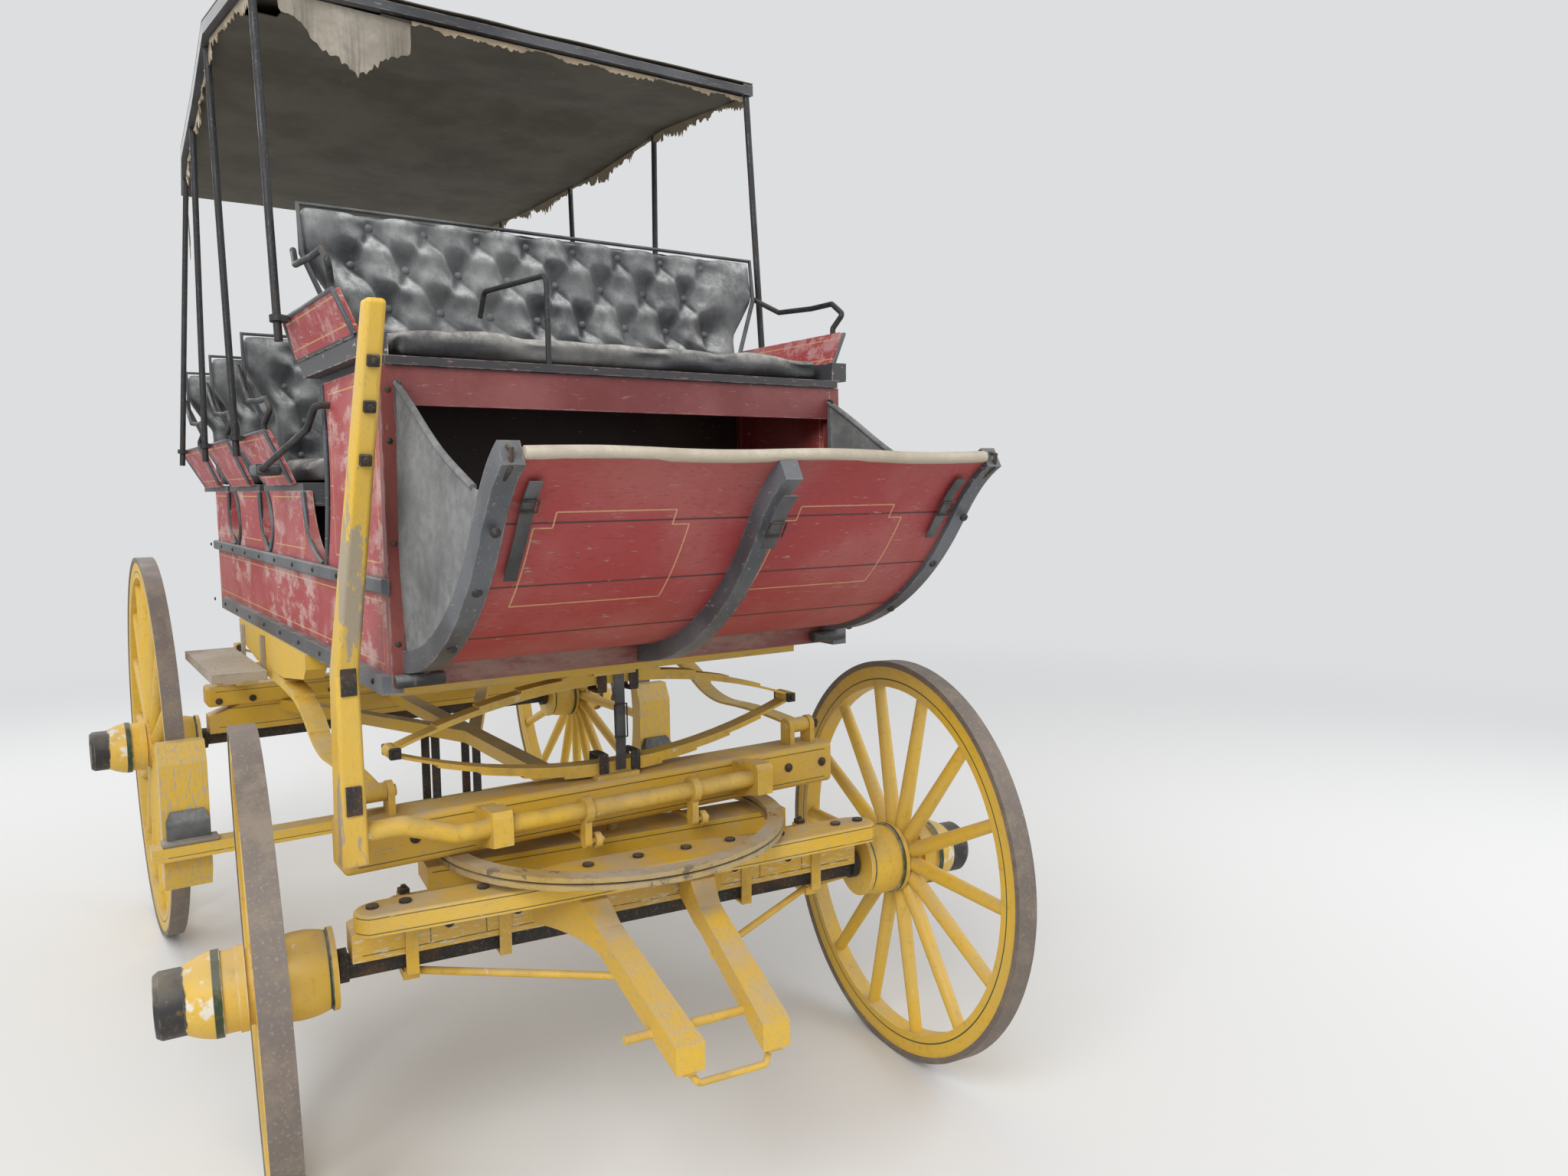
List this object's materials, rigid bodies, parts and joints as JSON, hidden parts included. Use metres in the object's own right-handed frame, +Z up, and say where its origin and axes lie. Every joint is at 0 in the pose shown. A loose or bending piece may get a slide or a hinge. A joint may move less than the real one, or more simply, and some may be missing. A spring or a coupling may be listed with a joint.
{
  "type": "stagecoach",
  "caption": "Open touring stagecoach with rows of leather seats under a flat canopy, spoked wooden wheels, a turning front gear and a side brake lever.",
  "frame": {"origin": "on the ground under the middle of the coach's overall box", "axes": "+X forward along the coach, +Y to its left, +Z up"},
  "size_m": [3.4441, 1.988, 2.7558],
  "materials": {
    "yellow_wood": "old yellow paint on timber, flaking",
    "yellow_steel": "old yellow paint on iron, worn pale",
    "black_iron": "worn black paint over rusting iron",
    "tyre_iron": "brown grey bare iron",
    "red_panel": "faded red paint on timber",
    "dark_red_wood": "dark red paint on timber",
    "black_wood": "worn black paint on timber",
    "grey_wood": "bare weathered timber",
    "black_leather": "dusty black leather",
    "canvas": "dull weathered canvas"
  },
  "bodies": {
    "coach": {"arm_irons": "black_iron", "body_transoms": "yellow_wood", "bolsters": "yellow_wood", "brake_bearings": "black_iron", "brake_hangers": "black_iron", "cross_panels": "red_panel", "cross_springs": "yellow_steel", "driver_back": "black_leather", "driver_cushion": "black_leather", "driver_seat_board": "black_wood", "floor": "grey_wood", "footboard": "grey_wood", "footboard_ribs": "black_iron", "front_pillars": "dark_red_wood", "guard_irons": "black_iron", "passenger_backs": "black_leather", "passenger_cushions": "black_leather", "passenger_seats": "black_wood", "post_brackets": "black_iron", "reach": "yellow_wood", "rear_axle": "black_iron", "rear_axle_bed": "yellow_wood", "roof_cloth": "canvas", "roof_frame": "black_wood", "roof_posts": "black_iron", "seat_ends": "red_panel", "side_blocks": "yellow_wood", "side_curtains": "canvas", "side_mouldings": "black_wood", "side_panel_left": "red_panel", "side_panel_right": "red_panel", "side_springs": "yellow_steel", "spring_shackles": "black_iron", "steps": "black_iron", "upper_circle": "black_iron"},
    "front_gear": {"front_axle": "black_iron", "front_axle_bed": "yellow_wood", "front_axle_clips": "black_iron", "sand_board": "yellow_wood", "lower_circle": "black_iron", "futchells": "yellow_wood", "splinter_bar": "yellow_wood", "front_stays": "yellow_steel", "jaw_irons": "black_iron"},
    "front_left_wheel_set": {"front_left_wheel": "yellow_wood", "front_left_tyre": "tyre_iron"},
    "front_right_wheel_set": {"front_right_wheel": "yellow_wood", "front_right_tyre": "tyre_iron"},
    "rear_left_wheel_set": {"rear_left_wheel": "yellow_wood", "rear_left_tyre": "tyre_iron"},
    "rear_right_wheel_set": {"rear_right_wheel": "yellow_wood", "rear_right_tyre": "tyre_iron"},
    "hand_brake": {"brake_lever": "yellow_steel", "brake_rocker": "yellow_steel"},
    "brake_beam_set": {"brake_beam": "yellow_wood", "brake_blocks": "yellow_wood", "brake_rods": "yellow_steel"}
  },
  "joints": [
    {"name": "steering", "type": "hinge", "parent": "coach", "child": "front_gear", "pos_m": [0.9378, 0, 0.7], "axis": [0, 0, 1], "range_deg": [-17.5, 30.5]},
    {"name": "front_left_wheel_spin", "type": "hinge", "parent": "front_gear", "child": "front_left_wheel_set", "pos_m": [1.10643, 0.77338, 0.53445], "axis": [0.1132, 0.9933, -0.0227], "continuous": true},
    {"name": "front_right_wheel_spin", "type": "hinge", "parent": "front_gear", "child": "front_right_wheel_set", "pos_m": [0.92814, -0.79149, 0.53445], "axis": [0.1132, 0.9933, 0.0227], "continuous": true},
    {"name": "rear_left_wheel_spin", "type": "hinge", "parent": "coach", "child": "rear_left_wheel_set", "pos_m": [-1.0622, 0.798, 0.66], "axis": [0, 1, 0], "continuous": true},
    {"name": "rear_right_wheel_spin", "type": "hinge", "parent": "coach", "child": "rear_right_wheel_set", "pos_m": [-1.0622, -0.798, 0.66], "axis": [0, 1, 0], "continuous": true},
    {"name": "brake_lever_swing", "type": "hinge", "parent": "coach", "child": "hand_brake", "pos_m": [1.0728, -0.337, 0.816], "axis": [0, 1, 0], "range_deg": [0, 14]},
    {"name": "brake_beam_slide", "type": "slide", "parent": "coach", "child": "brake_beam_set", "axis": [-1, 0, 0], "range_m": [0, 0.0184]}
  ],
  "couplings": [
    {"joint": "brake_beam_slide", "follows": "brake_lever_swing", "m_per_rad": 0.075}
  ]
}
